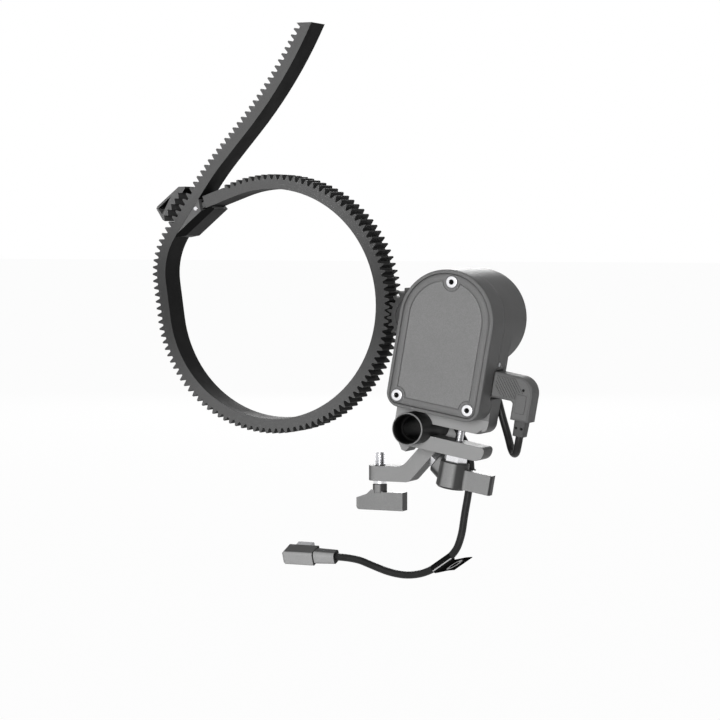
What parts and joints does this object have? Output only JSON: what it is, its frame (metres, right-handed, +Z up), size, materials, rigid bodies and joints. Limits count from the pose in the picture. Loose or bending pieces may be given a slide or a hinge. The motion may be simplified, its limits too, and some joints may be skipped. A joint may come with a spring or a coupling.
{
  "type": "follow focus unit",
  "caption": "Powered follow focus: a toothed belt ring with a buckle for the lens, and a geared motor unit clamped to a tube on a Z-shaped arm, with its USB cable.",
  "frame": {"origin": "top face of the arm on the axis of its thumb screw", "axes": "+Z up, -Y towards the front, the side that the flat cover of the motor unit faces; the lens axis runs along Y"},
  "size_m": [0.1454, 0.047, 0.1985],
  "materials": {
    "belt_rubber": "moulded, matt",
    "buckle_plastic": "fine textured",
    "case_grey": "fine matt grey",
    "panel_grey": "fine grain",
    "tube_black": "black anodised, bright turned rims",
    "arm_grey": "grey anodised",
    "knob_black": "satin",
    "steel": "turned and plated",
    "gear_black": "machined acetal",
    "bronze": "sintered",
    "motor_steel": "plain",
    "board": "solder resist",
    "cable_rubber": "satin jacket",
    "plug_plastic": "moulded",
    "tag_film": "printed film",
    "light_lens": "clear"
  },
  "bodies": {
    "bracket": {"arm": "arm_grey"},
    "ring": {"gear_belt": "belt_rubber", "buckle": "buckle_plastic", "buckle_pin": "steel"},
    "rod": {"tube": "tube_black"},
    "motor_unit": {"front_case": "case_grey", "front_cover": "case_grey", "label_panel": "panel_grey", "cover_screws": "steel", "rear_case": "case_grey", "rear_cap": "case_grey", "cap_screws": "steel", "gearbox": "motor_steel", "motor_can": "motor_steel", "shaft_bushes": "bronze", "circuit_board": "board", "usb_socket": "steel", "indicator_lens": "light_lens", "cable": "cable_rubber", "angled_plug_body": "plug_plastic", "angled_plug_boot": "plug_plastic", "angled_plug_shell": "steel", "straight_plug_body": "plug_plastic", "straight_plug_shell": "steel", "cable_tag": "tag_film"},
    "drive": {"drive_gear": "gear_black", "drive_shaft": "motor_steel"},
    "pinion": {"motor_pinion": "gear_black", "motor_shaft": "motor_steel"},
    "front_knob": {"front_clamp_bolt": "steel", "front_collar": "steel", "front_wing_knob": "knob_black"},
    "rear_knob": {"rear_clamp_bolt": "steel", "rear_collar": "steel", "rear_wing_knob": "knob_black"},
    "base_knob": {"base_stud": "steel", "base_wing_knob": "knob_black"}
  },
  "joints": [
    {"name": "ring_spin", "type": "hinge", "parent": "bracket", "child": "ring", "pos_m": [-0.0308, -0.0215, 0.0588], "axis": [0, 1, 0], "range_deg": [-168, 60]},
    {"name": "rod_slide", "type": "slide", "parent": "bracket", "child": "rod", "axis": [0, 1, 0], "range_m": [-0.0025, 0.0005]},
    {"name": "motor_swing", "type": "hinge", "parent": "rod", "child": "motor_unit", "pos_m": [0.02326, -0.0215, 0.01592], "axis": [0, 1, 0], "range_deg": [0, 45]},
    {"name": "drive_spin", "type": "hinge", "parent": "motor_unit", "child": "drive", "pos_m": [0.02429, -0.0215, 0.05524], "axis": [0, 1, 0], "range_deg": [-290, 803]},
    {"name": "pinion_spin", "type": "hinge", "parent": "motor_unit", "child": "pinion", "pos_m": [0.03865, -0.0215, 0.05423], "axis": [0, 1, 0], "range_deg": [-1600, 575]},
    {"name": "front_knob_turn", "type": "hinge", "parent": "motor_unit", "child": "front_knob", "pos_m": [0.03628, -0.01525, 0.00621], "axis": [-0.1736, 0, -0.9848], "range_deg": [0, 180]},
    {"name": "rear_knob_turn", "type": "hinge", "parent": "bracket", "child": "rear_knob", "pos_m": [0.0221, 0, 0.00434], "axis": [0.7349, 0, -0.6782], "range_deg": [0, 90]},
    {"name": "base_knob_turn", "type": "hinge", "parent": "bracket", "child": "base_knob", "pos_m": [0, 0, 0], "axis": [0, 0, 1], "continuous": true}
  ],
  "couplings": [
    {"joint": "drive_spin", "follows": "ring_spin", "ratio": -4.75},
    {"joint": "pinion_spin", "follows": "ring_spin", "ratio": 9.5}
  ]
}
